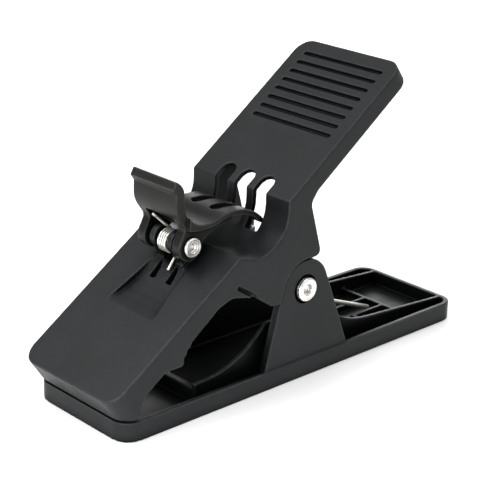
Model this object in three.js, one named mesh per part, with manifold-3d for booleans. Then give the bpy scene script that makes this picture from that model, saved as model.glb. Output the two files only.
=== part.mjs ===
// A sprung plastic clamp for a rail or cart bar, with a half-round cradle on its arm
// and a sprung thumb lever that holds a round stick in that cradle.
// Millimetres. X runs across the width, Y from the jaw tip (-Y) to the rear (+Y), Z up.
// The origin is on the base tray's underside, midway across it and straight below the main pivot.
import * as THREE from "three";
import { mergeVertices } from "three/addons/utils/BufferGeometryUtils.js";
import Module from "manifold-3d";

const wasm = await Module();
wasm.setup();

// ---- driving dimensions ----
const GAP = 0.3;                    // clearance between neighbouring pieces
const BORE_GAP = 0.3;               // radial clearance of a bore round a rivet

const WIDTH = 45;                   // base tray, side to side
const FRONT = -75;                  // base tray's tip and rear end
const REAR = 77.3;
const HALF = WIDTH / 2;
const ARM_HALF = 22.9;              // half the arm's width

const TRAY_HEIGHT = 6.5;
const TRAY_CORNER = 6;
const TRAY_WALL = 1.9;
const FLOOR = 1.6;
const RIB_X = 15.9;                 // middle of the long ribs
const RIB_THICK = 1.4;
const THIN_RIB = 1.4;

const PIVOT = [0, 31];              // main pivot, as y and z
const EAR_OUT = 22;
const EAR_IN = 19;
const EAR_R = 10.1;
const FRONT_FLARE = 15;             // degrees from upright of the ears' flanks
const REAR_FLARE = 22;
const SINK_R = 4.8;
const SINK_DEPTH = 0.9;

const SHELL = 2.6;                  // wall of the arm's moulding
const PLATE = 2.6;                  // thickness of its jaw, cradle and handle plates
const JAW_ANGLE = 34.4;
const JAW_TOP = [-29.5, 49.4];      // where the jaw plate meets the cradle
const JAW_LENGTH = 61.5;
const JAW_CORNER = 6;
const CRADLE = [-22.3, 59.8];       // middle of the cradle's half-round
const CRADLE_R = 12.7;
const HANDLE_ANGLE = 36.3;
const HANDLE_FOOT = [-9.6, 62.9];   // lower edge of the handle plate
const HANDLE_LENGTH = 62;
const HANDLE_CORNER = 5.8;
const HANDLE_SKIRT = 6.6;
const EAR_CLEAR = 0.6;              // gap between an ear's edge and the arm round it

const SLOT_PITCH = 9;               // three slots at the handle's foot
const SLOT_WIDTH = 5.7;
const GROOVES = 8;                  // grip grooves across the handle
const GROOVE_FIRST = 27.3;
const GROOVE_PITCH = 4.1;
const GROOVE_LENGTH = 35.6;
const GROOVE_WIDTH = 1.3;
const GROOVE_DEPTH = 0.9;

const LUG_IN = 12.9;                // pivot lugs inside the arm
const LUG_OUT = 16;
const LUG_R = 8;

const LEVER = [-39, 51.3];          // thumb lever's pivot, as y and z
const LEVER_HALF = 11.4;            // half the presser's width
const TAB_HALF = 10.3;
const LEVER_EAR_IN = 6.6;
const LEVER_EAR_OUT = 10;
const LEVER_BOSS_R = 4.8;
const HINGE_LUG_IN = 2.9;
const HINGE_LUG_OUT = 5.2;
const HINGE_LUG_R = 4;
const FINGER_SLOT = 4;              // the two slots that split the presser into fingers
const FINGER_SLOT_X = 4.5;

const MAIN_RIVET_R = 2.6;
const LEVER_RIVET_R = 1.5;
const MAIN_WIRE_R = 0.8;
const MAIN_COIL_R = 7.2;
const LEVER_WIRE_R = 0.45;
const LEVER_COIL_R = 3.4;
const LEVER_COIL_SAG = 0.6;         // how far the lever's coil hangs below its rivet's middle

// ---- outlines ----
const ROUND = 48;                   // facets round a full circle
const rad = THREE.MathUtils.degToRad;

// A point at s along a slope from its origin and d below its surface, as y and z.
function along(origin, degrees, s, d) {
  const a = rad(degrees);
  return [
    origin[0] + s * Math.cos(a) + d * Math.sin(a),
    origin[1] + s * Math.sin(a) - d * Math.cos(a),
  ];
}
const jaw = (s, d) => along(JAW_TOP, JAW_ANGLE, -s, d);
const handle = (s, d) => along(HANDLE_FOOT, HANDLE_ANGLE, s, d);

// A point on a circle, as y and z.
function onCircle(centre, r, degrees) {
  const a = rad(degrees);
  return [centre[0] + r * Math.cos(a), centre[1] + r * Math.sin(a)];
}

// Closed outline through corners [a, b] or rounded corners [a, b, radius].
function outline(corners) {
  const shape = new THREE.Shape();
  const count = corners.length;
  for (let i = 0; i < count; i++) {
    const here = new THREE.Vector2(corners[i][0], corners[i][1]);
    const before = new THREE.Vector2(...corners[(i + count - 1) % count].slice(0, 2)).sub(here);
    const after = new THREE.Vector2(...corners[(i + 1) % count].slice(0, 2)).sub(here);
    const radius = corners[i][2] ?? 0;
    const half = Math.abs(before.angleTo(after)) / 2;
    const back = radius / Math.tan(half);
    const start = here.clone().addScaledVector(before.normalize(), back);
    const end = here.clone().addScaledVector(after.normalize(), back);
    if (i === 0) shape.moveTo(start.x, start.y);
    else shape.lineTo(start.x, start.y);
    if (radius > 0) shape.quadraticCurveTo(here.x, here.y, end.x, end.y);
  }
  shape.closePath();
  return shape;
}

// Points along an arc, ends included.
function arcPoints(centre, r, from, to, steps) {
  const points = [];
  for (let i = 0; i <= steps; i++) {
    points.push(onCircle(centre, r, from + ((to - from) * i) / steps));
  }
  return points;
}

// Rounded rectangle centred on a, b.
function roundedBox(a, b, width, height, r) {
  const w = width / 2;
  const h = height / 2;
  const shape = new THREE.Shape();
  shape.absarc(a + w - r, b + h - r, r, 0, Math.PI / 2);
  shape.absarc(a - w + r, b + h - r, r, Math.PI / 2, Math.PI);
  shape.absarc(a - w + r, b - h + r, r, Math.PI, Math.PI * 1.5);
  shape.absarc(a + w - r, b - h + r, r, Math.PI * 1.5, Math.PI * 2);
  return shape;
}

// ---- solids ----
function solid(geometry) {
  const bare = geometry.clone();
  bare.deleteAttribute("normal");
  bare.deleteAttribute("uv");
  const merged = mergeVertices(bare, 1e-5);
  return new wasm.Manifold(new wasm.Mesh({
    numProp: 3,
    vertProperties: Float32Array.from(merged.attributes.position.array),
    triVerts: Uint32Array.from(merged.index.array),
  }));
}

function geometryOf(body) {
  const mesh = body.getMesh();
  const geometry = new THREE.BufferGeometry();
  geometry.setAttribute("position", new THREE.BufferAttribute(mesh.vertProperties, 3));
  geometry.setIndex(new THREE.BufferAttribute(mesh.triVerts, 1));
  return geometry;
}

function extrude(shape, depth) {
  return new THREE.ExtrudeGeometry(shape, { depth, bevelEnabled: false, curveSegments: 10 });
}

// Outline in y and z, swept across the width from x0 to x1.
const acrossX = new THREE.Matrix4().set(0, 0, 1, 0, 1, 0, 0, 0, 0, 1, 0, 0, 0, 0, 0, 1);
function slab(shape, x0, x1) {
  return solid(extrude(shape, x1 - x0).applyMatrix4(acrossX).translate(x0, 0, 0));
}

// The same sweep on both sides of the middle.
function slabPair(shape, x0, x1) {
  return slab(shape, x0, x1).add(slab(shape, -x1, -x0));
}

// Outline in x and y, raised from z0 to z1.
function raised(shape, z0, z1) {
  return solid(extrude(shape, z1 - z0).translate(0, 0, z0));
}

// Outline in x and s on a sloping plate, cut from `above` its surface to `below` it.
function onPlate(shape, origin, degrees, above, below) {
  const slope = new THREE.Matrix4().makeRotationX(rad(degrees));
  slope.setPosition(0, origin[0], origin[1]);
  return solid(extrude(shape, above + below).translate(0, 0, -below).applyMatrix4(slope));
}

function rod(r, centre, x0, x1) {
  const geometry = new THREE.CylinderGeometry(r, r, x1 - x0, ROUND);
  geometry.rotateZ(Math.PI / 2);
  return solid(geometry.translate((x0 + x1) / 2, centre[0], centre[1]));
}

function block(x0, x1, y0, y1, z0, z1) {
  const geometry = new THREE.BoxGeometry(x1 - x0, y1 - y0, z1 - z0);
  return solid(geometry.translate((x0 + x1) / 2, (y0 + y1) / 2, (z0 + z1) / 2));
}

function blockPair(x0, x1, y0, y1, z0, z1) {
  return block(x0, x1, y0, y1, z0, z1).add(block(-x1, -x0, y0, y1, z0, z1));
}

// What a square corner loses when it is rounded, at x, s with its outside towards signX, signS.
function cornerWaste(x, s, signX, signS, r) {
  const over = 2;
  const cx = x - signX * r;
  const cs = s - signS * r;
  const shape = new THREE.Shape();
  shape.moveTo(x + signX * over, s + signS * over);
  shape.lineTo(cx, s + signS * over);
  const steps = 12;
  for (let i = 0; i <= steps; i++) {
    const a = ((Math.PI / 2) * i) / steps;
    shape.lineTo(cx + signX * r * Math.sin(a), cs + signS * r * Math.cos(a));
  }
  shape.lineTo(x + signX * over, cs);
  shape.closePath();
  return shape;
}

// Turned ring or pin: profile points are radius and x.
function turned(points, centre) {
  const profile = points.map(([r, x]) => new THREE.Vector2(r, x));
  const geometry = new THREE.LatheGeometry(profile, ROUND);
  geometry.rotateZ(-Math.PI / 2);
  return geometry.translate(0, centre[0], centre[1]);
}

// ---- base tray ----
// An ear: round head about the pivot and straight flanks down to the tray.
function earOutline(foot) {
  const reach = (tangent, flare) => Math.abs(tangent[0]) + (tangent[1] - foot) * Math.tan(rad(flare));
  const head = arcPoints(PIVOT, EAR_R, REAR_FLARE, 180 - FRONT_FLARE, 24);
  const rear = reach(head[0], REAR_FLARE);
  const front = reach(head[head.length - 1], FRONT_FLARE);
  return outline([[rear, foot], ...head, [-front, foot]]);
}

// Long rib: low in front, swept up to the ear, and down again to the rear wall.
function longRib() {
  const rib = new THREE.Shape();
  rib.moveTo(-42.5, 0.5);
  rib.lineTo(-42.5, 7.6);
  rib.quadraticCurveTo(-42.3, 8.1, -41, 8.1);
  rib.lineTo(-34, 8.5);
  rib.quadraticCurveTo(-22, 10.4, -12.2, 20.4);
  rib.lineTo(16.5, 20.4);
  rib.quadraticCurveTo(21.3, 10.4, 38, 9.2);
  rib.lineTo(REAR - TRAY_WALL / 2, 6.3);
  rib.lineTo(REAR - TRAY_WALL / 2, 0.5);
  rib.closePath();
  const inside = RIB_X - RIB_THICK / 2;
  const outside = RIB_X + RIB_THICK / 2;
  const tieTop = 17;
  let ribs = slabPair(rib, inside, outside);
  for (const y of [-10, 12]) {
    ribs = ribs.add(blockPair(outside - 0.4, EAR_IN + 0.4, y - 1, y + 1, 1, tieTop));
  }
  return ribs;
}

function baseTray() {
  const inner = RIB_X - RIB_THICK / 2;
  const channelX = 4.3;
  const channelFront = 42.3;
  const crossRear = 57.8;
  const ribTop = 4;

  const length = REAR - FRONT;
  const middle = (REAR + FRONT) / 2;
  let tray = raised(roundedBox(0, middle, WIDTH, length, TRAY_CORNER), 0, TRAY_HEIGHT);
  const hollow = roundedBox(
    0, middle, WIDTH - 2 * TRAY_WALL, length - 2 * TRAY_WALL, TRAY_CORNER - TRAY_WALL);
  tray = tray.subtract(raised(hollow, FLOOR, TRAY_HEIGHT + 1));
  tray = tray.add(longRib());
  tray = tray.add(slabPair(earOutline(1), EAR_IN, EAR_OUT));

  // ribs across the front and rear, and the channel for the spring's leg
  tray = tray.add(block(-inner - 0.5, inner + 0.5, -42.5, -39.7, 1, 6.2));
  tray = tray.add(block(-inner - 0.5, inner + 0.5, crossRear, crossRear + THIN_RIB, 1, ribTop));
  tray = tray.add(blockPair(channelX - THIN_RIB / 2, channelX + THIN_RIB / 2,
    channelFront, crossRear + 0.5, 1, ribTop));
  tray = tray.add(blockPair(channelX, inner + 0.5, channelFront, channelFront + THIN_RIB, 1, ribTop));

  // the rivet's bore, with a sink for its head and washer in each ear
  tray = tray.subtract(rod(MAIN_RIVET_R + BORE_GAP, PIVOT, -HALF - 1, HALF + 1));
  tray = tray.subtract(rod(SINK_R, PIVOT, EAR_OUT - SINK_DEPTH, HALF + 1));
  tray = tray.subtract(rod(SINK_R, PIVOT, -HALF - 1, -EAR_OUT + SINK_DEPTH));
  return geometryOf(tray);
}

// ---- arm ----
// Side view of the arm, handle, cradle and jaw in one run.
function armOutline() {
  const edgeR = EAR_R + EAR_CLEAR;
  const flank = onCircle(PIVOT, edgeR, 180 - FRONT_FLARE);
  const rearStart = onCircle(PIVOT, edgeR, 78);
  return outline([
    jaw(JAW_LENGTH, 0),
    jaw(JAW_LENGTH, 9.2),
    [-73.6, 7.2, 0.6],
    [-69, 7.8],
    [-68.9, 10.9, 2],
    [-67.2, 14.3, 2],
    [-59.6, 19.6, 1],
    // stepped teeth
    [-53, 19.6],
    [-52.1, 20.8],
    [-52.5, 22.1],
    [-51.1, 23.2],
    [-51.2, 24.5],
    [-49.8, 25.2],
    [-49.2, 26.6],
    // arch over the gripped bar
    [-38.4, 34.7, 3],
    [-33, 36.6, 6],
    [-23.1, 34.3],
    [-15.7, 29.2, 1],
    [-11.7, 29, 1],
    // along the ear's edge
    flank,
    ...arcPoints(PIVOT, edgeR, 180 - FRONT_FLARE, 78, 20).slice(1, -1),
    rearStart,
    [5.9, 42.0, 2.4],
    [0.4, 60.3, 3],
    handle(11, HANDLE_SKIRT),
    handle(HANDLE_LENGTH, HANDLE_SKIRT),
    handle(HANDLE_LENGTH, 0),
    HANDLE_FOOT,
    ...arcPoints(CRADLE, CRADLE_R, 0, -124.5, 26),
  ]);
}

// Inner corner between the cradle's rear wall and the handle plate, for a plate this thick.
function innerCorner(thick) {
  const y = CRADLE[0] + CRADLE_R + thick;
  const foot = handle(0, thick);
  return [y, foot[1] + (y - foot[0]) * Math.tan(rad(HANDLE_ANGLE))];
}

// Side view of the room under the arm's plates.
function armHollow() {
  const deep = 60;
  return outline([
    jaw(JAW_LENGTH - SHELL, PLATE),
    jaw(2.2, PLATE),
    ...arcPoints(CRADLE, CRADLE_R + PLATE, -118, 0, 26),
    innerCorner(PLATE),
    handle(HANDLE_LENGTH - SHELL, PLATE),
    handle(HANDLE_LENGTH - SHELL, deep),
    jaw(JAW_LENGTH - SHELL, deep),
  ]);
}

// Two lugs that carry the arm on the main rivet.
function pivotLugs() {
  const top = arcPoints(CRADLE, CRADLE_R + PLATE / 2, -96, 0, 18);
  const web = outline([
    [-7.4, 27.9], ...top, handle(2, PLATE / 2), handle(11, PLATE / 2), handle(10.6, HANDLE_SKIRT),
    [0.6, 60.1, 2], [4.4, 47.4], [9.9, 44.4, 1], [9.4, 38.4], [7.4, 34],
  ]);
  let lugs = slabPair(web, LUG_IN, LUG_OUT);
  for (const side of [-1, 1]) {
    const x0 = side > 0 ? LUG_IN : -LUG_OUT;
    lugs = lugs.add(rod(LUG_R, PIVOT, x0, x0 + LUG_OUT - LUG_IN));
  }
  lugs = lugs.add(rod(6.4, PIVOT, LUG_OUT - 0.5, EAR_IN - GAP));
  return lugs.add(rod(6.4, PIVOT, -EAR_IN + GAP, -LUG_OUT + 0.5));
}

// Two round lugs on the jaw plate for the thumb lever's rivet, each on a low pedestal.
function hingeLugs() {
  const foot = outline([[-42.6, 49.6], jaw(10.4, 1.5), jaw(4.5, 1.5), [-35, 51]]);
  const pedestal = outline([jaw(11.3, 1.5), jaw(11.3, -1.1), jaw(6.4, -1.1), jaw(6.4, 1.5)]);
  let lugs = slabPair(foot, HINGE_LUG_IN, HINGE_LUG_OUT);
  lugs = lugs.add(slabPair(pedestal, HINGE_LUG_IN, LEVER_EAR_IN - GAP));
  lugs = lugs.add(rod(HINGE_LUG_R, LEVER, HINGE_LUG_IN, HINGE_LUG_OUT));
  return lugs.add(rod(HINGE_LUG_R, LEVER, -HINGE_LUG_OUT, -HINGE_LUG_IN));
}

// Hollow for a fingertip in front of the lever: a shallow round sweep, wider at its front.
function fingerHollow() {
  const front = 31.3;
  const rear = 11.6;
  const middle = (front + rear) / 2;
  const depth = 1.8;
  const reach = (front - rear) / 2;
  const r = (reach * reach + depth * depth) / (2 * depth);
  const plan = outline([[-11.3, -front - 1], [-7.7, -rear], [7.7, -rear], [11.3, -front - 1]]);
  const prism = onPlate(plan, JAW_TOP, JAW_ANGLE, 3, depth + 1);
  return prism.intersect(rod(r, jaw(middle, depth - r), -12, 12));
}

function handleSlots() {
  const half = SLOT_WIDTH / 2;
  const end = 6.5 - half;
  const side = outline([
    onCircle(CRADLE, CRADLE_R - 2, -44),
    onCircle(CRADLE, CRADLE_R + 5.5, -44),
    [-3.4, 55],
    handle(end, 6.5),
    handle(end, -1),
    [-12.5, 64],
  ]);
  let slots = null;
  for (const place of [-1, 0, 1]) {
    const x = place * SLOT_PITCH;
    const circle = new THREE.Shape();
    circle.absarc(x, end, half, 0, Math.PI * 2);
    const slot = slab(side, x - half, x + half)
      .add(onPlate(circle, HANDLE_FOOT, HANDLE_ANGLE, 1, 6.5));
    slots = slots ? slots.add(slot) : slot;
  }
  return slots;
}

function gripGrooves() {
  let grooves = null;
  for (let i = 0; i < GROOVES; i++) {
    const s = GROOVE_FIRST + i * GROOVE_PITCH;
    const shape = roundedBox(0, s, GROOVE_LENGTH, GROOVE_WIDTH, GROOVE_WIDTH / 2 - 0.01);
    const groove = onPlate(shape, HANDLE_FOOT, HANDLE_ANGLE, 1, GROOVE_DEPTH);
    grooves = grooves ? grooves.add(groove) : groove;
  }
  return grooves;
}

function clampArm() {
  const inner = ARM_HALF - SHELL;
  let arm = slab(armOutline(), -ARM_HALF, ARM_HALF);
  let hollow = slab(armHollow(), -inner, inner);
  for (const side of [-1, 1]) {
    const jawOut = cornerWaste(side * ARM_HALF, -JAW_LENGTH, side, -1, JAW_CORNER);
    const jawIn = cornerWaste(side * inner, -JAW_LENGTH + SHELL, side, -1, JAW_CORNER - SHELL);
    const handleOut = cornerWaste(side * ARM_HALF, HANDLE_LENGTH, side, 1, HANDLE_CORNER);
    const handleIn = cornerWaste(
      side * inner, HANDLE_LENGTH - SHELL, side, 1, HANDLE_CORNER - SHELL);
    arm = arm.subtract(onPlate(jawOut, JAW_TOP, JAW_ANGLE, 3, 14));
    arm = arm.subtract(onPlate(handleOut, HANDLE_FOOT, HANDLE_ANGLE, 3, 12));
    hollow = hollow.subtract(onPlate(jawIn, JAW_TOP, JAW_ANGLE, 3, 20));
    hollow = hollow.subtract(onPlate(handleIn, HANDLE_FOOT, HANDLE_ANGLE, 3, 20));
  }
  arm = arm.subtract(hollow);

  // thinner walls round the slots, and a pad under the finger hollow
  const thin = 1.8;
  const relief = outline([
    ...arcPoints(CRADLE, CRADLE_R + thin, -30, 0, 8),
    innerCorner(thin), handle(9, thin), handle(9, 5), [-4, 50],
  ]);
  arm = arm.subtract(slab(relief, -LUG_IN, LUG_IN));
  const pad = outline([jaw(35, 1.5), jaw(32, 4.6), jaw(5, 4.6), jaw(4, 1.5)]);
  arm = arm.add(slab(pad, -12.6, 12.6));

  arm = arm.subtract(fingerHollow());
  arm = arm.subtract(handleSlots());
  arm = arm.subtract(gripGrooves());
  arm = arm.add(pivotLugs());
  arm = arm.add(hingeLugs());

  // wedge-shaped mould slots in front of the hinge lugs, and a crease on each skirt
  for (const side of [-1, 1]) {
    const wedge = outline([
      [side * 3.2, -11.5], [side * 4.3, -11.5], [side * 5.2, -17.7], [side * 2.6, -17.3],
    ]);
    arm = arm.subtract(onPlate(wedge, JAW_TOP, JAW_ANGLE, 1, 6));
  }
  const crease = outline([[-31.1, 39.2], [-30.5, 40], [-22.4, 34.8], [-23, 33.7]]);
  arm = arm.subtract(slabPair(crease, ARM_HALF - 1, ARM_HALF + 1));

  arm = arm.subtract(rod(MAIN_RIVET_R + BORE_GAP, PIVOT, -HALF, HALF));
  arm = arm.subtract(rod(LEVER_RIVET_R + BORE_GAP, LEVER, -HALF, HALF));
  return geometryOf(arm);
}

// ---- thumb lever ----
// Side view of the bent sheet: upright tab, trough, and presser over the cradle.
function leverSheet() {
  const sheet = new THREE.Shape();
  const v = (y, z) => new THREE.Vector2(y, z);
  sheet.moveTo(-41, 57);
  sheet.splineThru([v(-42.6, 59.3), v(-44.4, 62), v(-45.3, 65), v(-45.25, 69.2)]);
  sheet.lineTo(-46.6, 71.2);
  sheet.lineTo(-45.4, 73.4);
  sheet.lineTo(-44.8, 73.4);
  sheet.splineThru([v(-43.2, 72), v(-42.1, 70), v(-41.9, 66.5), v(-41.1, 62.4), v(-39, 59.5),
    v(-35.8, 58.1), v(-31, 58.2), v(-25.6, 59.6), v(-20, 59.6), v(-15, 58.3), v(-11.4, 56.1),
    v(-9.5, 54.2)]);
  sheet.lineTo(-10.6, 53.2);
  sheet.splineThru([v(-12.4, 54.9), v(-15.6, 56.7), v(-20.2, 57.9), v(-25.4, 57.9),
    v(-30.8, 56.5), v(-36, 56.2)]);
  sheet.closePath();
  return slab(sheet, -LEVER_HALF, LEVER_HALF);
}

function thumbLever() {
  const web = outline([
    [-43.2, 64.4], [-42, 59.8], [-41.6, 56.8, 1.5], [-43.7, 52.4], [-36, 49],
    [-33.6, 52.5, 3], [-29.6, 54.9, 2], [-22.4, 56.3], [-21.6, 58.4], [-30, 57.2], [-38, 57.6],
    [-41.8, 62],
  ]);
  let lever = leverSheet();
  lever = lever.add(slabPair(web, LEVER_EAR_IN, LEVER_EAR_OUT));
  lever = lever.add(rod(LEVER_BOSS_R, LEVER, LEVER_EAR_IN, LEVER_EAR_OUT));
  lever = lever.add(rod(LEVER_BOSS_R, LEVER, -LEVER_EAR_OUT, -LEVER_EAR_IN));

  // the tab's sides, the window for the spring, and the slots between the fingers
  lever = lever.subtract(blockPair(TAB_HALF, LEVER_HALF + 1, -50, -40.6, 56, 75));
  const window = outline([[-47, 54], [-47, 60.6], [-40.4, 60.6, 1], [-38.4, 58, 1], [-38.4, 54]]);
  const windowHalf = LEVER_EAR_IN - 0.1;
  lever = lever.subtract(slab(window, -windowHalf, windowHalf));
  const fingerRoot = -26;
  for (const side of [-1, 1]) {
    const x = side * FINGER_SLOT_X;
    const half = FINGER_SLOT / 2;
    const plan = new THREE.Shape();
    plan.moveTo(x + half, 0);
    plan.lineTo(x - half, 0);
    plan.lineTo(x - half, fingerRoot + half);
    plan.absarc(x, fingerRoot + half, half, Math.PI, Math.PI * 2);
    plan.closePath();
    lever = lever.subtract(raised(plan, 50, 64));
  }
  lever = lever.subtract(rod(LEVER_RIVET_R + BORE_GAP, LEVER, -HALF, HALF));
  return geometryOf(lever);
}

// ---- rivets, washers and bush ----
// A hollow rivet: domed head at -x, and at +x a wide rolled flange round a deep hole.
function rivet(r, headR, headX, rollX, rollR, hole, centre) {
  const middle = (rollR + hole) / 2;
  const high = rollR * 0.24;
  return turned([
    [0, -headX - 1.25], [headR * 0.6, -headX - 1.15], [headR * 0.88, -headX - 0.8],
    [headR, -headX - 0.4], [headR, -headX], [r, -headX],
    [r, rollX], [rollR - high * 0.3, rollX], [rollR, rollX + high * 0.3],
    [rollR - high * 0.12, rollX + high * 0.65], [rollR - high * 0.5, rollX + high * 0.92],
    [middle, rollX + high], [hole + high * 0.35, rollX + high * 0.8],
    [hole, rollX + high * 0.35], [hole, rollX - 0.6], [0, rollX - 0.6],
  ], centre);
}

// A flat washer with eased outer corners.
function washer(bore, rim, x, thick, centre) {
  const ease = 0.15;
  return turned([
    [bore, x], [rim - ease, x], [rim, x + ease], [rim, x + thick - ease],
    [rim - ease, x + thick], [bore, x + thick], [bore, x],
  ], centre);
}

function springBush() {
  const half = LUG_IN - GAP;
  const inner = MAIN_RIVET_R + BORE_GAP;
  const outer = MAIN_COIL_R - MAIN_WIRE_R - 0.5;
  return turned([
    [inner, -half], [outer, -half], [outer, half], [inner, half], [inner, -half],
  ], PIVOT);
}

// ---- springs ----
// Angle on a coil where a straight leg to a point leaves it, on the side given by turn.
function leaves(centre, r, point, turn) {
  const dy = point[1] - centre[0];
  const dz = point[2] - centre[1];
  const spread = Math.acos(r / Math.hypot(dy, dz));
  return THREE.MathUtils.radToDeg(Math.atan2(dz, dy) + turn * spread);
}

// A coil about the x axis with a straight leg off each end.
class SpringPath extends THREE.Curve {
  constructor(spec) {
    super();
    this.spec = spec;
    const { coilR, centre, from, turns, start, end, halfWidth } = spec;
    this.legIn = new THREE.Vector3(...start);
    this.legOut = new THREE.Vector3(...end);
    const coil = (t) => {
      const a = rad(from + 360 * turns * t);
      const y = centre[0] + coilR * Math.cos(a);
      const z = centre[1] + coilR * Math.sin(a);
      return new THREE.Vector3(halfWidth * (1 - 2 * t), y, z);
    };
    this.coil = coil;
    this.lengths = [
      this.legIn.distanceTo(coil(0)),
      2 * Math.PI * coilR * Math.abs(turns),
      coil(1).distanceTo(this.legOut),
    ];
    this.total = this.lengths[0] + this.lengths[1] + this.lengths[2];
  }

  getPoint(t, target = new THREE.Vector3()) {
    const [a, b, c] = this.lengths;
    const s = t * this.total;
    if (s <= a) return target.lerpVectors(this.legIn, this.coil(0), s / a);
    if (s <= a + b) return target.copy(this.coil((s - a) / b));
    return target.lerpVectors(this.coil(1), this.legOut, (s - a - b) / c);
  }
}

function spring(wireR, steps, spec) {
  const section = new THREE.Shape();
  section.absarc(0, 0, wireR, 0, Math.PI * 2);
  return new THREE.ExtrudeGeometry(section, {
    steps, curveSegments: 4, bevelEnabled: false, extrudePath: new SpringPath(spec),
  });
}

// The lower leg lies in the tray's channel and the upper leg leans on the cradle's rear wall.
function mainSpring() {
  const start = [1.4, 54, 3.2];
  const end = [5.8, -8.9, 50.2];
  const from = leaves(PIVOT, MAIN_COIL_R, start, -1);
  const to = leaves(PIVOT, MAIN_COIL_R, end, 1);
  const turns = (to - from) / 360 - 5;
  return spring(MAIN_WIRE_R, 210, {
    coilR: MAIN_COIL_R, centre: PIVOT, halfWidth: -3.65, from, turns, start, end,
  });
}

// One leg stands in front of the tab and the other on the jaw plate.
function leverSpring() {
  const centre = [LEVER[0], LEVER[1] - LEVER_COIL_SAG];
  const start = [2.05, -41.5, 41.85];
  const end = [-2.7, -43.7, 59.8];
  const from = leaves(centre, LEVER_COIL_R, start, 1);
  const to = leaves(centre, LEVER_COIL_R, end, -1);
  const turns = (to - from) / 360 + 4;
  return spring(LEVER_WIRE_R, 180, {
    coilR: LEVER_COIL_R, centre, halfWidth: 2.05, from, turns, start, end,
  });
}

// ---- assembly ----
const PLASTIC = { color: 0x34383a, roughness: 0.55, metalness: 0 };
const NICKEL = { color: 0xd9d7d2, roughness: 0.22, metalness: 1 };
const NYLON = { color: 0x1d1f20, roughness: 0.5, metalness: 0 };

const clamp = new THREE.Group();
function place(name, geometry, look) {
  const material = new THREE.MeshStandardMaterial({ ...look, flatShading: true });
  const mesh = new THREE.Mesh(geometry, material);
  mesh.name = name;
  clamp.add(mesh);
}

const sinkFace = EAR_OUT - SINK_DEPTH + 0.25;
const flangeX = sinkFace + 1.05;
const leverFace = LEVER_EAR_OUT + 0.25;
const leverFlangeX = leverFace + 0.4;
place("base_tray", baseTray(), PLASTIC);
place("clamp_arm", clampArm(), PLASTIC);
place("thumb_lever", thumbLever(), PLASTIC);
place("main_pivot_rivet", rivet(MAIN_RIVET_R, 4, sinkFace, flangeX, 4, 1.9, PIVOT), NICKEL);
place("main_rivet_washer", washer(MAIN_RIVET_R + 0.2, 3.8, sinkFace, 0.8, PIVOT), NICKEL);
place("spring_bush", springBush(), NYLON);
place("main_spring", mainSpring(), NICKEL);
place("lever_pivot_rivet", rivet(LEVER_RIVET_R, 3.1, leverFace, leverFlangeX, 3.2, 1.7, LEVER), NICKEL);
place("lever_rivet_washer", washer(LEVER_RIVET_R + 0.2, 3, leverFace, 0.3, LEVER), NICKEL);
place("lever_spring", leverSpring(), NICKEL);

export default clamp;
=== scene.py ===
"""A black plastic rail clamp with a cradle, a sprung thumb lever and bright rivets and springs.

The scene is in metres. The part's own sizes are given in millimetres and multiplied by MM.
The part's frame: X across the width, -Y at the jaw's tip, Z up, origin under the main pivot.
"""
import math

import bmesh
import bpy
from mathutils import Matrix, Vector


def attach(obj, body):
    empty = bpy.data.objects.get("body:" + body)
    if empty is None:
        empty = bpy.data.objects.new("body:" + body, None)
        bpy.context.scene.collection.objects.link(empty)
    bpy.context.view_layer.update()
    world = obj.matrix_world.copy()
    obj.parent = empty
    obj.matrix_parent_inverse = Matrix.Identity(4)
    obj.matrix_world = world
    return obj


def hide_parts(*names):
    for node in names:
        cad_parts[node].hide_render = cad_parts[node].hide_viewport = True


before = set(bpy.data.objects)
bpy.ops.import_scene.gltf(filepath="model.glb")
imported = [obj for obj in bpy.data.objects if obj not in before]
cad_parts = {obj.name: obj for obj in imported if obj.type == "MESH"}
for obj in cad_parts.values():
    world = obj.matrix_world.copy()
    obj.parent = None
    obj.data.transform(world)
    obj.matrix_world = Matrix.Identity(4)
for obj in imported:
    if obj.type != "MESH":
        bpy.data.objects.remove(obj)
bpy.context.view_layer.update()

MM = 0.001

# The part's sizes, in millimetres. The pivots and the coil's middle are y and z.
MAIN_PIVOT = (0.0, 31.0)
LEVER_PIVOT = (-39.0, 51.3)
LEVER_COIL = (-39.0, 50.7)        # the lever's coil hangs a little low on its rivet

SKIN_VOXEL = 0.3                  # fineness of the two big mouldings' skins
LEVER_VOXEL = 0.2
CORNER_PASSES = 4                 # smoothing passes that round every corner
SIDE_PASSES = 8                   # and more of them near the arm's two outer sides
ARM_SIDE_X = 21.1

MAIN_SINK_X = 21.35               # bottom of the sink in the tray's ear
MAIN_FLANGE_X = 22.4
MAIN_RIVET_R = 2.6
LEVER_FACE_X = 10.25              # outer face of the lever's ear
LEVER_FLANGE_X = 10.65
LEVER_RIVET_R = 1.5
WELL_DEPTH = 0.9                  # how far a rivet's hollow end goes in below its flange
BUSH_HALF = 12.6
MAIN_COIL_R = 7.2
MAIN_WIRE_R = 0.8
MAIN_COIL_HALF = 3.65
LEVER_COIL_R = 3.4
LEVER_WIRE_R = 0.45
LEVER_COIL_HALF = 2.05
LEG_SLIMMER = 0.985               # a leg's wire against its coil's, where they overlap

SHADE_SAMPLES = 8                 # rays for the painted shade masks
EDGE_SAMPLES = 6                  # and for the painted edge highlight's mask
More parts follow.
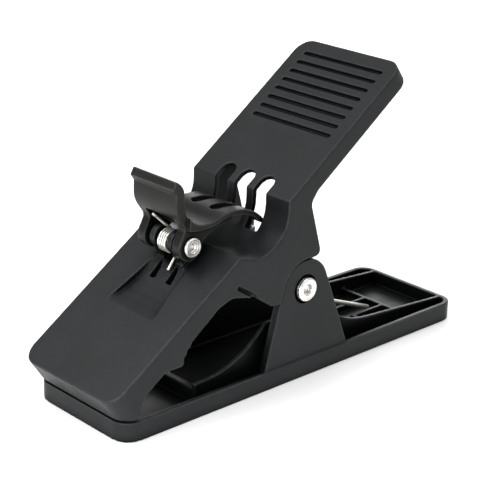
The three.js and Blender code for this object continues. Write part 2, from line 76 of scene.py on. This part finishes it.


# ---- materials ----
class Nodes:
    """Small helper that adds shader nodes and links them."""

    def __init__(self, name):
        self.material = bpy.data.materials.new(name)
        self.material.use_nodes = True
        self.tree = self.material.node_tree
        self.shader = self.tree.nodes["Principled BSDF"]
        self.place = self.add("ShaderNodeTexCoord").outputs["Object"]

    def add(self, kind, inputs=None, **settings):
        node = self.tree.nodes.new(kind)
        for key, value in settings.items():
            setattr(node, key, value)
        for key, value in (inputs or {}).items():
            self.put(node.inputs[key], value)
        return node

    def put(self, socket, value):
        if isinstance(value, bpy.types.NodeSocket):
            self.tree.links.new(value, socket)
        else:
            socket.default_value = value

    def noise(self, grain_mm, detail=2.0, stretch=(1, 1, 1)):
        """Noise whose features are about grain_mm across."""
        scaled = self.add("ShaderNodeMapping", {"Vector": self.place, "Scale": stretch})
        return self.add("ShaderNodeTexNoise", {
            "Vector": scaled.outputs["Vector"], "Scale": 1 / (grain_mm * MM), "Detail": detail,
        }).outputs["Fac"]

    def spread(self, value, low, high, out_low, out_high):
        """Map value from low..high to out_low..out_high, held at both ends."""
        return self.add("ShaderNodeMapRange", {
            "Value": value, "From Min": low, "From Max": high, "To Min": out_low, "To Max": out_high,
        }).outputs["Result"]

    def maths(self, operation, a, b=0.0):
        node = self.add("ShaderNodeMath", operation=operation)
        self.put(node.inputs[0], a)
        self.put(node.inputs[1], b)
        return node.outputs["Value"]

    def mix(self, factor, a, b):
        node = self.add("ShaderNodeMix", data_type="RGBA")
        self.put(node.inputs["Factor"], factor)
        self.put(node.inputs["A"], a)
        self.put(node.inputs["B"], b)
        return node.outputs["Result"]

    def bump(self, height, depth_mm, strength, normal=None):
        inputs = {"Height": height, "Distance": depth_mm * MM, "Strength": strength}
        if normal is not None:
            inputs["Normal"] = normal
        return self.add("ShaderNodeBump", inputs).outputs["Normal"]

    def edges(self, radius_mm):
        """About 1 on convex and concave edges and 0 on open faces."""
        soft = self.add("ShaderNodeBevel", {"Radius": radius_mm * MM}, samples=EDGE_SAMPLES)
        facing = self.add("ShaderNodeNewGeometry").outputs["Normal"]
        dot = self.add("ShaderNodeVectorMath", {0: soft.outputs["Normal"], 1: facing},
                       operation="DOT_PRODUCT")
        return self.spread(dot.outputs["Value"], 0.995, 0.85, 0.0, 1.0)

    def openness(self, reach_mm, low, high, alone=False):
        """1 on open faces and 0 deep in grooves, corners and hollows; alone ignores other pieces."""
        sky = self.add("ShaderNodeAmbientOcclusion", {"Distance": reach_mm * MM},
                       samples=SHADE_SAMPLES, only_local=alone)
        return self.spread(sky.outputs["AO"], low, high, 0.0, 1.0)

    def finish(self, **inputs):
        for key, value in inputs.items():
            self.put(self.shader.inputs[key.replace("_", " ")], value)
        return self.material


def grey(r, g, b):
    return (r, g, b, 1.0)


# Near-black colour painted in as shade in grooves, nooks and hollows.
PAINTED_SHADE = grey(0.001, 0.001, 0.0012)
# Dark grey painted as shade in the steel's recesses and between the coil's turns.
PAINTED_STEEL_SHADE = grey(0.07, 0.067, 0.062)


def painted_shade_mask(n):
    """Painted shade: how much light is left in grooves, nooks between pieces and hollows of one piece;
    gives the mask, and grooves.
    """
    groove = n.openness(1.6, 0.45, 0.92)
    nook = n.openness(7, 0.25, 0.75)
    cave = n.openness(22, 0.68, 0.97, alone=True)
    lit = n.maths("MULTIPLY", n.spread(groove, 0, 1, 0.1, 1.0), n.spread(nook, 0, 1, 0.15, 1.0))
    return n.maths("MULTIPLY", lit, n.spread(cave, 0, 1, 0.22, 1.0)), groove


def moulded_plastic(name, dark, light, speck_and_highlight, roughness, sheen, grain_mm=0.22):
    """Moulded plastic: spark-eroded grain, flow clouds, painted highlights along its edges and painted
    shade in its recesses.
    """
    n = Nodes(name)
    clouds = n.noise(14, detail=3)
    flow = n.noise(5, detail=2, stretch=(1.0, 0.35, 0.35))
    grain = n.noise(grain_mm, detail=3)
    coarse = n.noise(0.7, detail=1)
    lit, groove = painted_shade_mask(n)
    body = n.mix(n.spread(clouds, 0.35, 0.65, 0.0, 1.0), dark, light)
    body = n.mix(n.spread(grain, 0.4, 0.75, 0.0, 0.10), body, speck_and_highlight)
    # Painted highlight: edges lightened toward the speck and highlight colour, in patches, not in
    # grooves.
    edge_highlight = n.maths("MULTIPLY", n.edges(0.8), n.spread(n.noise(2.2), 0.35, 0.65, 0.5, 1.0))
    body = n.mix(n.maths("MULTIPLY", edge_highlight, groove), body, speck_and_highlight)
    # Painted shade: the body fades to near black where little light would reach.
    body = n.mix(lit, PAINTED_SHADE, body)
    rough = n.maths("ADD", n.spread(flow, 0.3, 0.7, roughness - 0.05, roughness + 0.05),
                    n.spread(grain, 0.3, 0.7, -0.04, 0.04))
    wave = n.bump(flow, 0.05, 0.25)
    pebble = n.bump(coarse, 0.03, 0.3, wave)
    normal = n.bump(grain, 0.02, 0.55, pebble)
    # The specular level is lowered by the same painted shade.
    shaded_sheen = n.maths("MULTIPLY", lit, sheen)
    return n.finish(Base_Color=body, Roughness=rough, Normal=normal, Specular_IOR_Level=shaded_sheen)


def plated_steel(name, colour, shade, roughness, metallic):
    """Bright plated steel with fine marks, a few dull spots and painted shade in its recesses."""
    n = Nodes(name)
    spots = n.noise(1.6, detail=3)
    marks = n.noise(0.3, detail=2)
    body = n.mix(n.spread(spots, 0.45, 0.7, 0.0, 0.6), colour, shade)
    # Painted shade: darker in the steel's recesses and between the coil's turns.
    body = n.mix(n.openness(1.2, 0.45, 0.95), PAINTED_STEEL_SHADE, body)
    rough = n.maths("ADD", n.spread(spots, 0.3, 0.7, roughness - 0.04, roughness + 0.06),
                    n.spread(marks, 0.3, 0.7, 0.0, 0.05))
    normal = n.bump(marks, 0.005, 0.3)
    return n.finish(Base_Color=body, Metallic=metallic, Roughness=rough, Normal=normal)


# Each plastic's third colour serves both as its grain speck and as its painted edge highlight.
BLACK = moulded_plastic("black_plastic", grey(0.0040, 0.0051, 0.0055), grey(0.0060, 0.0074, 0.0080),
                        grey(0.130, 0.142, 0.146), roughness=0.42, sheen=0.19)
WARM_BLACK = moulded_plastic("black_plastic_lever", grey(0.0054, 0.0056, 0.0051),
                             grey(0.0078, 0.0078, 0.0070), grey(0.085, 0.085, 0.080),
                             roughness=0.42, sheen=0.17)
NYLON = moulded_plastic("black_nylon", grey(0.005, 0.005, 0.0055), grey(0.007, 0.007, 0.0075),
                        grey(0.03, 0.03, 0.03), roughness=0.42, sheen=0.2, grain_mm=0.4)
NICKEL = plated_steel("nickel_rivet", grey(0.88, 0.87, 0.85), grey(0.70, 0.69, 0.66),
                      roughness=0.24, metallic=0.85)
WIRE = plated_steel("spring_wire", grey(0.80, 0.78, 0.72), grey(0.66, 0.64, 0.59),
                    roughness=0.26, metallic=0.75)


# ---- mesh helpers ----
def add_object(name, mesh, material, body, slot, *nodes):
    piece = bpy.data.objects.new(name, mesh)
    bpy.context.scene.collection.objects.link(piece)
    mesh.materials.clear()
    mesh.materials.append(material)
    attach(piece, body)
    if nodes:
        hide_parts(*nodes)
    return piece


def moulded(name, node, material, body, slot, voxel_mm, passes, wide_edge=None, wide_passes=0):
    """A CAD moulding remade as a fine closed skin whose corners are all slightly rounded.

    wide_edge(point in mm) picks the points that get wide_passes more of the rounding.
    """
    bm = bmesh.new()
    bm.from_mesh(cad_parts[node].data)
    bmesh.ops.remove_doubles(bm, verts=bm.verts, dist=0.001 * MM)
    mesh = bpy.data.meshes.new(name)
    bm.to_mesh(mesh)
    bm.free()
    piece = add_object(name, mesh, material, body, slot, node)
    remesh = piece.modifiers.new("skin", "REMESH")
    remesh.mode = "VOXEL"
    remesh.voxel_size = voxel_mm * MM
    remesh.use_smooth_shade = True
    smooth = piece.modifiers.new("rounding", "SMOOTH")
    smooth.factor = 0.5
    smooth.iterations = passes
    skin = bpy.data.meshes.new_from_object(piece.evaluated_get(bpy.context.evaluated_depsgraph_get()))
    piece.modifiers.clear()
    piece.data = skin
    if wide_edge:
        chosen = [v.index for v in skin.vertices if wide_edge(v.co / MM)]
        group = piece.vertex_groups.new(name="wide")
        group.add(chosen, 1.0, "REPLACE")
        smooth = piece.modifiers.new("wide rounding", "SMOOTH")
        smooth.factor = 0.5
        smooth.iterations = wide_passes
        smooth.vertex_group = "wide"
    return piece


def lathe(name, profile, centre, segments=96):
    """A mesh turned about the x axis through centre: profile points are radius and x, in mm."""
    bm = bmesh.new()
    rings = []
    for radius, x in profile:
        if radius < 1e-6:
            rings.append([bm.verts.new((x * MM, centre[0] * MM, centre[1] * MM))])
            continue
        ring = []
        for i in range(segments):
            a = 2 * math.pi * i / segments
            y = centre[0] + radius * math.cos(a)
            z = centre[1] + radius * math.sin(a)
            ring.append(bm.verts.new((x * MM, y * MM, z * MM)))
        rings.append(ring)
    for a, b in zip(rings, rings[1:]):
        for i in range(segments):
            j = (i + 1) % segments
            if len(a) == 1:
                bm.faces.new((a[0], b[i], b[j]))
            elif len(b) == 1:
                bm.faces.new((a[i], b[0], a[j]))
            else:
                bm.faces.new((a[i], b[i], b[j], a[j]))
    bmesh.ops.remove_doubles(bm, verts=bm.verts, dist=0.0005 * MM)
    bmesh.ops.recalc_face_normals(bm, faces=bm.faces)
    mesh = bpy.data.meshes.new(name)
    bm.to_mesh(mesh)
    bm.free()
    for polygon in mesh.polygons:
        polygon.use_smooth = True
    return mesh


def tube(name, points, radius, segments=16):
    """A round wire along points in mm, with its two ends lightly chamfered."""
    path = [Vector(p) for p in points]
    tangents = []
    for i in range(len(path)):
        tangents.append((path[min(i + 1, len(path) - 1)] - path[max(i - 1, 0)]).normalized())
    not_along_wire = Vector((0.31, 0.17, 0.93))
    side = tangents[0].cross(not_along_wire).normalized()
    bm = bmesh.new()
    rings = []

    def ring(at, tangent, r):
        up = tangent.cross(side).normalized()
        made = []
        for k in range(segments):
            a = 2 * math.pi * k / segments
            made.append(bm.verts.new((at + side * (r * math.cos(a)) + up * (r * math.sin(a))) * MM))
        rings.append(made)

    chamfer = radius * 0.25
    for i, (at, tangent) in enumerate(zip(path, tangents)):
        side = (side - tangent * side.dot(tangent)).normalized()
        if i == 0:
            ring(at, tangent, radius - chamfer)
            ring(at + tangent * chamfer, tangent, radius)
        elif i == len(path) - 1:
            ring(at - tangent * chamfer, tangent, radius)
            ring(at, tangent, radius - chamfer)
        else:
            ring(at, tangent, radius)
    for a, b in zip(rings, rings[1:]):
        for k in range(segments):
            j = (k + 1) % segments
            bm.faces.new((a[k], a[j], b[j], b[k]))
    bm.faces.new(rings[0])
    bm.faces.new(rings[-1])
    bmesh.ops.recalc_face_normals(bm, faces=bm.faces)
    mesh = bpy.data.meshes.new(name)
    bm.to_mesh(mesh)
    bm.free()
    for polygon in mesh.polygons:
        polygon.use_smooth = len(polygon.vertices) == 4
    return mesh


# ---- plastic mouldings ----
def near_arm_side(point):
    """Everything close to the arm's two outer sides, with the long edges where they meet the plates."""
    return abs(point.x) > ARM_SIDE_X


moulded("arm_moulding", "clamp_arm", BLACK, "arm", "black_plastic", SKIN_VOXEL, CORNER_PASSES,
        near_arm_side, SIDE_PASSES)
moulded("base_moulding", "base_tray", BLACK, "base", "black_plastic", SKIN_VOXEL, CORNER_PASSES)
moulded("lever_moulding", "thumb_lever", WARM_BLACK, "lever", "black_plastic", LEVER_VOXEL,
        CORNER_PASSES)


# ---- rivets, washers and bush ----
def arc(centre, r, start, end, steps=6):
    """Profile points on an arc: radius and x, with angles in degrees from the radial direction."""
    points = []
    for i in range(steps + 1):
        a = math.radians(start + (end - start) * i / steps)
        points.append((centre[0] + r * math.cos(a), centre[1] + r * math.sin(a)))
    return points


def rivet(name, node, body, shank, head, head_x, flange, flange_x, hole, centre):
    """Rivet with a domed head at -x, and at +x a rolled flange round its short hollow end."""
    high = flange * 0.24
    roll = high * 0.42
    dome = 1.25
    dome_r = head * 1.9
    rim_r = 0.22
    profile = [(0, -head_x - dome)]
    profile += arc((0, -head_x - dome + dome_r), dome_r, -88, -66)
    profile += arc((head - rim_r, -head_x - rim_r), rim_r, -60, 0, 4)
    profile += [(head, -head_x - 0.06), (head - 0.06, -head_x), (shank, -head_x), (shank, flange_x)]
    profile += [(flange - roll, flange_x)]
    profile += arc((flange - roll, flange_x + roll), roll, -75, 62)
    profile += arc((flange - roll * 1.5, flange_x + high - roll * 1.15), roll * 1.15, 68, 105, 4)
    lip = hole + 0.32
    profile += [(lip + 0.45, flange_x + high * 0.72)]
    profile += arc((lip - 0.05, flange_x + high * 0.5), 0.27, 75, 180, 5)
    depth = flange_x - WELL_DEPTH
    profile += [(hole, flange_x), (hole, depth + 0.25), (hole - 0.25, depth)]
    profile += [(hole * 0.55, depth + 0.05), (hole * 0.4, depth - 0.12), (hole * 0.15, depth - 0.2)]
    profile += [(0, depth - 0.2)]
    return add_object(name, lathe(name, profile, centre), NICKEL, body, "nickel_rivet", node)


def washer(name, node, body, bore, rim, x, thick, centre):
    ease = 0.1
    profile = [(bore, x + ease)]
    profile += arc((rim - ease, x + ease), ease, -90, 0, 4)
    profile += arc((rim - ease, x + thick - ease), ease, 0, 90, 4)
    profile += [(bore + ease, x + thick), (bore, x + thick - ease), (bore, x + ease)]
    return add_object(name, lathe(name, profile, centre), NICKEL, body, "nickel_rivet", node)


def bush(name, node, body, inner, outer, half, centre):
    """Nylon tube with eased ends and shallow rings where the coil has rubbed."""
    ease = 0.4
    ring_half = 0.5
    ring_depth = 0.12
    rings = 6
    profile = [(inner, -half + ease), (inner + ease, -half)]
    profile += [(outer - ease, -half), (outer, -half + ease)]
    for i in range(rings):
        x = -MAIN_COIL_HALF + 2 * MAIN_COIL_HALF * i / (rings - 1)
        profile += [(outer, x - ring_half), (outer - ring_depth, x), (outer, x + ring_half)]
    profile += [(outer, half - ease), (outer - ease, half), (inner + ease, half), (inner, half - ease)]
    profile += [(inner, -half + ease)]
    return add_object(name, lathe(name, profile, centre), NYLON, body, "black_nylon", node)


rivet("main_rivet", "main_pivot_rivet", "base", shank=MAIN_RIVET_R, head=4.0, head_x=MAIN_SINK_X,
      flange=4.0, flange_x=MAIN_FLANGE_X, hole=1.9, centre=MAIN_PIVOT)
washer("main_washer", "main_rivet_washer", "base", bore=2.8, rim=3.8, x=MAIN_SINK_X, thick=0.8,
       centre=MAIN_PIVOT)
rivet("lever_rivet", "lever_pivot_rivet", "arm", shank=LEVER_RIVET_R, head=3.1, head_x=LEVER_FACE_X,
      flange=3.2, flange_x=LEVER_FLANGE_X, hole=1.7, centre=LEVER_PIVOT)
washer("lever_washer", "lever_rivet_washer", "arm", bore=1.7, rim=3.0, x=LEVER_FACE_X, thick=0.3,
       centre=LEVER_PIVOT)
bush("nylon_bush", "spring_bush", "base", inner=2.9, outer=5.9, half=BUSH_HALF, centre=MAIN_PIVOT)


# ---- springs ----
def leaves(centre, r, point, turn):
    """Angle on a coil where a straight leg to a point leaves it, on the side given by turn."""
    dy = point[1] - centre[0]
    dz = point[2] - centre[1]
    return math.atan2(dz, dy) + turn * math.acos(r / math.hypot(dy, dz))


def torsion_spring(name, node, centre, coil_r, wire_r, half_width, start, end, side, turns, bodies,
                   wind):
    """A coil with two straight legs: the coil and first leg ride one body, the second leg the other.

    The second leg starts a little way back inside the coil's wire, by the angle wind, so the
    spring stays whole when that leg swings round the coil.
    """
    first = leaves(centre, coil_r, start, side)
    last = leaves(centre, coil_r, end, -side) + turns * 2 * math.pi
    per_turn = 48
    leg_steps = 8
    inside_steps = 16
    steps = per_turn * abs(turns)

    def coil(t):
        a = first + (last - first) * t
        y = centre[0] + coil_r * math.cos(a)
        z = centre[1] + coil_r * math.sin(a)
        return Vector((half_width * (1 - 2 * t), y, z))

    body_path = [Vector(start).lerp(coil(0), i / leg_steps) for i in range(leg_steps)]
    body_path += [coil(i / steps) for i in range(steps + 1)]
    back = wind / abs(last - first)
    leg_path = [coil(1 - back * (1 - i / inside_steps)) for i in range(inside_steps + 1)]
    leg_path += [coil(1).lerp(Vector(end), (i + 1) / leg_steps) for i in range(leg_steps)]
    add_object(name + "_coil", tube(name + "_coil", body_path, wire_r), WIRE, bodies[0],
               "spring_wire", node)
    add_object(name + "_leg", tube(name + "_leg", leg_path, wire_r * LEG_SLIMMER), WIRE, bodies[1],
               "spring_wire")


torsion_spring("main_spring", "main_spring", MAIN_PIVOT, MAIN_COIL_R, MAIN_WIRE_R, -MAIN_COIL_HALF,
               start=(1.4, 54, 3.2), end=(5.8, -8.9, 50.2), side=-1, turns=-5,
               bodies=("base", "arm"), wind=math.radians(50))
torsion_spring("lever_spring", "lever_spring", LEVER_COIL, LEVER_COIL_R, LEVER_WIRE_R, LEVER_COIL_HALF,
               start=(2.05, -41.5, 41.85), end=(-2.7, -43.7, 59.8), side=1, turns=4,
               bodies=("arm", "lever"), wind=math.radians(65))


# ---- stage, light and camera, in metres ----
SIDE_LIGHT = 0.15                 # the backdrop's light from the sides and from above
TOP_LIGHT = 0.9
FLOOR_HALF = 4.0
FLOOR_DROP = 0.0002

# Soft boxes: name, place, aim, width and power in watts.
SOFT_BOXES = [
    ("key", (-0.35, -0.55, 0.9), (0, 0, 0.04), 0.6, 6.0),
    ("top", (0.1, 0.25, 1.0), (0, 0, 0.04), 0.8, 4.0),
    ("front", (0.14, -0.26, 0.10), (0.02, -0.07, 0.01), 0.12, 0.65),
    ("rear", (-0.40, 0.55, 0.24), (0, 0, 0.03), 0.4, 1.6),
]
BOX_SHAPE = 0.7                   # a soft box's height against its width

CAMERA_TURN = (46.70, 20.62, 1.47)               # azimuth, elevation and roll in degrees
CAMERA_AIM = (-0.00535, -0.00395, 0.0408)
CAMERA_DISTANCE = 0.5
CAMERA_LENS = 113.2                              # focal length in millimetres


def backdrop(scene):
    """A backdrop that looks white, while the light it sheds is bright above and dim at the sides."""
    world = bpy.data.worlds.new("studio")
    scene.world = world
    world.use_nodes = True
    tree = world.node_tree
    sky = tree.nodes["Background"]
    direction = tree.nodes.new("ShaderNodeTexCoord")
    parts = tree.nodes.new("ShaderNodeSeparateXYZ")
    rise = tree.nodes.new("ShaderNodeMapRange")
    rise.inputs["From Min"].default_value = -0.1
    rise.inputs["From Max"].default_value = 0.75
    rise.inputs["To Min"].default_value = SIDE_LIGHT
    rise.inputs["To Max"].default_value = TOP_LIGHT
    rays = tree.nodes.new("ShaderNodeLightPath")
    strength = tree.nodes.new("ShaderNodeMix")
    strength.inputs["B"].default_value = 1.0
    tree.links.new(direction.outputs["Generated"], parts.inputs["Vector"])
    tree.links.new(parts.outputs["Z"], rise.inputs["Value"])
    tree.links.new(rays.outputs["Is Camera Ray"], strength.inputs["Factor"])
    tree.links.new(rise.outputs["Result"], strength.inputs["A"])
    tree.links.new(strength.outputs["Result"], sky.inputs["Strength"])
    sky.inputs["Color"].default_value = (1.0, 1.0, 1.0, 1.0)


def pale_floor(scene):
    mesh = bpy.data.meshes.new("floor")
    reach = FLOOR_HALF
    corners = [(-reach, -reach), (reach, -reach), (reach, reach), (-reach, reach)]
    mesh.from_pydata([(x, y, -FLOOR_DROP) for x, y in corners], [], [(0, 1, 2, 3)])
    floor = bpy.data.objects.new("floor", mesh)
    scene.collection.objects.link(floor)
    n = Nodes("pale_floor")
    clouds = n.spread(n.noise(120), 0.3, 0.7, 0.0, 1.0)
    tone = n.mix(clouds, grey(0.90, 0.90, 0.90), grey(0.93, 0.93, 0.93))
    mesh.materials.append(n.finish(Base_Color=tone, Roughness=0.8))


def soft_box(scene, name, at, aim, width, power):
    light = bpy.data.lights.new(name, "AREA")
    light.shape = "RECTANGLE"
    light.size = width
    light.size_y = width * BOX_SHAPE
    light.energy = power
    lamp = bpy.data.objects.new(name, light)
    lamp.location = at
    lamp.rotation_euler = (Vector(aim) - Vector(at)).to_track_quat("-Z", "Y").to_euler()
    scene.collection.objects.link(lamp)


def studio(scene):
    scene.view_settings.view_transform = "Standard"
    backdrop(scene)
    pale_floor(scene)
    for name, at, aim, width, power in SOFT_BOXES:
        soft_box(scene, name, at, aim, width, power)


def three_quarter_camera(scene):
    """A camera to the front right and a little above, with a slight roll."""
    azimuth, elevation, roll = (math.radians(a) for a in CAMERA_TURN)
    aim = Vector(CAMERA_AIM)
    back = Vector((
        math.sin(azimuth) * math.cos(elevation),
        -math.cos(azimuth) * math.cos(elevation),
        math.sin(elevation),
    ))
    camera = bpy.data.cameras.new("camera")
    camera.sensor_width = 36
    camera.lens = CAMERA_LENS
    camera.clip_start = 0.01
    viewer = bpy.data.objects.new("camera", camera)
    turn = back.to_track_quat("Z", "Y").to_matrix() @ Matrix.Rotation(roll, 3, "Z")
    viewer.matrix_world = Matrix.Translation(aim + back * CAMERA_DISTANCE) @ turn.to_4x4()
    scene.collection.objects.link(viewer)
    scene.camera = viewer


studio(bpy.context.scene)
three_quarter_camera(bpy.context.scene)
